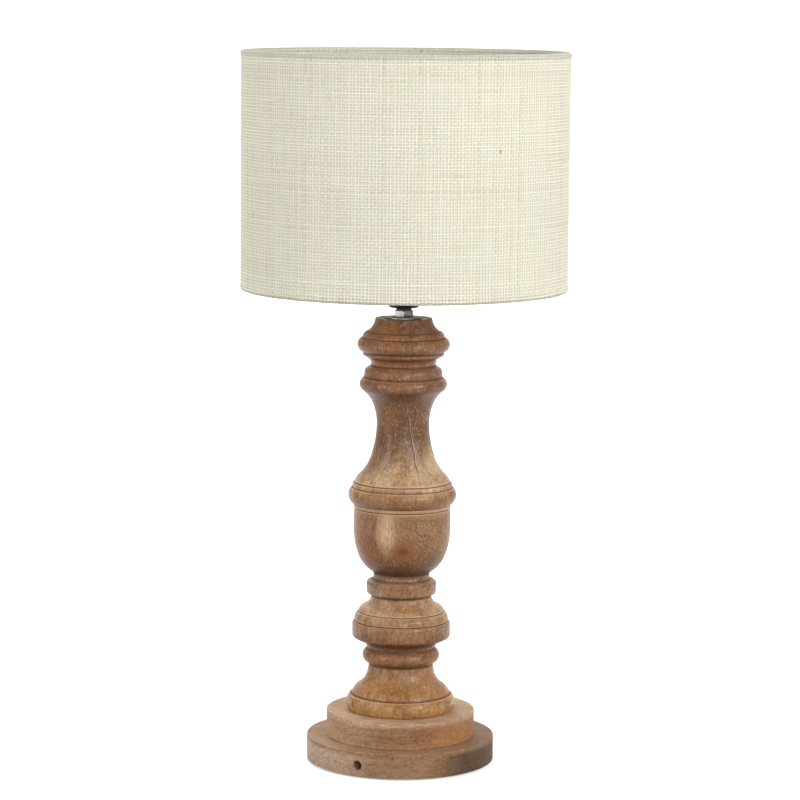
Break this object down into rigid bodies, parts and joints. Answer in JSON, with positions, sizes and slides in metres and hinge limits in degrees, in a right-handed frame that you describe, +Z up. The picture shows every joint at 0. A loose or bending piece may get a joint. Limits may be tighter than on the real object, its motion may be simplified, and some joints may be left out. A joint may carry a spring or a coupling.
{
  "type": "table lamp",
  "caption": "Table lamp with a turned wooden column on two round plinths and a drum shade of coarse cloth over a standard screw lampholder and bulb.",
  "frame": {"origin": "centre of the felt's underside, on the surface that the lamp stands on", "axes": "+Z up along the column, -Y towards the front, +X to the right as seen from the front"},
  "size_m": [0.3054, 0.3054, 0.6662],
  "materials": {
    "column_wood": "satin lacquer",
    "plinth_wood": "matt",
    "felt": "napped",
    "zinc_steel": "zinc plated",
    "dark_steel": "polished",
    "wire_steel": "white powder coat",
    "bakelite": "gloss",
    "porcelain": "unglazed",
    "brass": "drawn",
    "cloth": "coarse plain weave",
    "styrene": "matt film",
    "cap_shell": "drawn",
    "bulb_glass": "opal",
    "bulb_body": "satin",
    "black_glass": "gloss",
    "solder": "dull",
    "board": "white solder mask",
    "phosphor": "matt"
  },
  "bodies": {
    "stand": {"felt_pad": "felt", "lower_plinth": "plinth_wood", "upper_plinth": "plinth_wood", "plinth_screws": "zinc_steel", "base_washer": "zinc_steel", "base_nut": "zinc_steel", "turned_column": "column_wood", "threaded_rod": "zinc_steel", "cap_washer": "zinc_steel", "cap_nut": "dark_steel", "holder_cap": "bakelite", "holder_lock_screw": "zinc_steel", "holder_shell": "bakelite", "holder_insert": "porcelain", "terminal_screws": "brass", "screw_shell": "brass", "centre_contact": "brass"},
    "lower_ring": {"lower_shade_ring": "bakelite"},
    "upper_ring": {"upper_shade_ring": "bakelite"},
    "shade": {"shade_cloth": "cloth", "shade_liner": "styrene", "top_hoop": "wire_steel", "bottom_hoop": "wire_steel", "top_hem": "cloth", "bottom_hem": "cloth", "fitter_plate": "wire_steel", "fitter_arms": "wire_steel"},
    "bulb": {"bulb_cap": "cap_shell", "bulb_insulator": "black_glass", "bulb_tip": "solder", "bulb_housing": "bulb_body", "bulb_globe": "bulb_glass", "led_board": "board", "led_diodes": "phosphor"}
  },
  "joints": [
    {"name": "shade_turn", "type": "hinge", "parent": "stand", "child": "shade", "pos_m": [0, 0, 0.465], "axis": [0, 0, 1], "continuous": true},
    {"name": "lower_ring_turn", "type": "hinge", "parent": "stand", "child": "lower_ring", "pos_m": [0, 0, 0.461], "axis": [0, 0, 1], "range_deg": [-540, 0]},
    {"name": "upper_ring_unscrew", "type": "hinge", "parent": "stand", "child": "upper_ring", "pos_m": [0, 0, 0.469], "axis": [0, 0, 1], "range_deg": [0, 2340]},
    {"name": "bulb_unscrew", "type": "hinge", "parent": "stand", "child": "bulb", "pos_m": [0, 0, 0.48], "axis": [0, 0, 1], "range_deg": [0, 1440]}
  ]
}
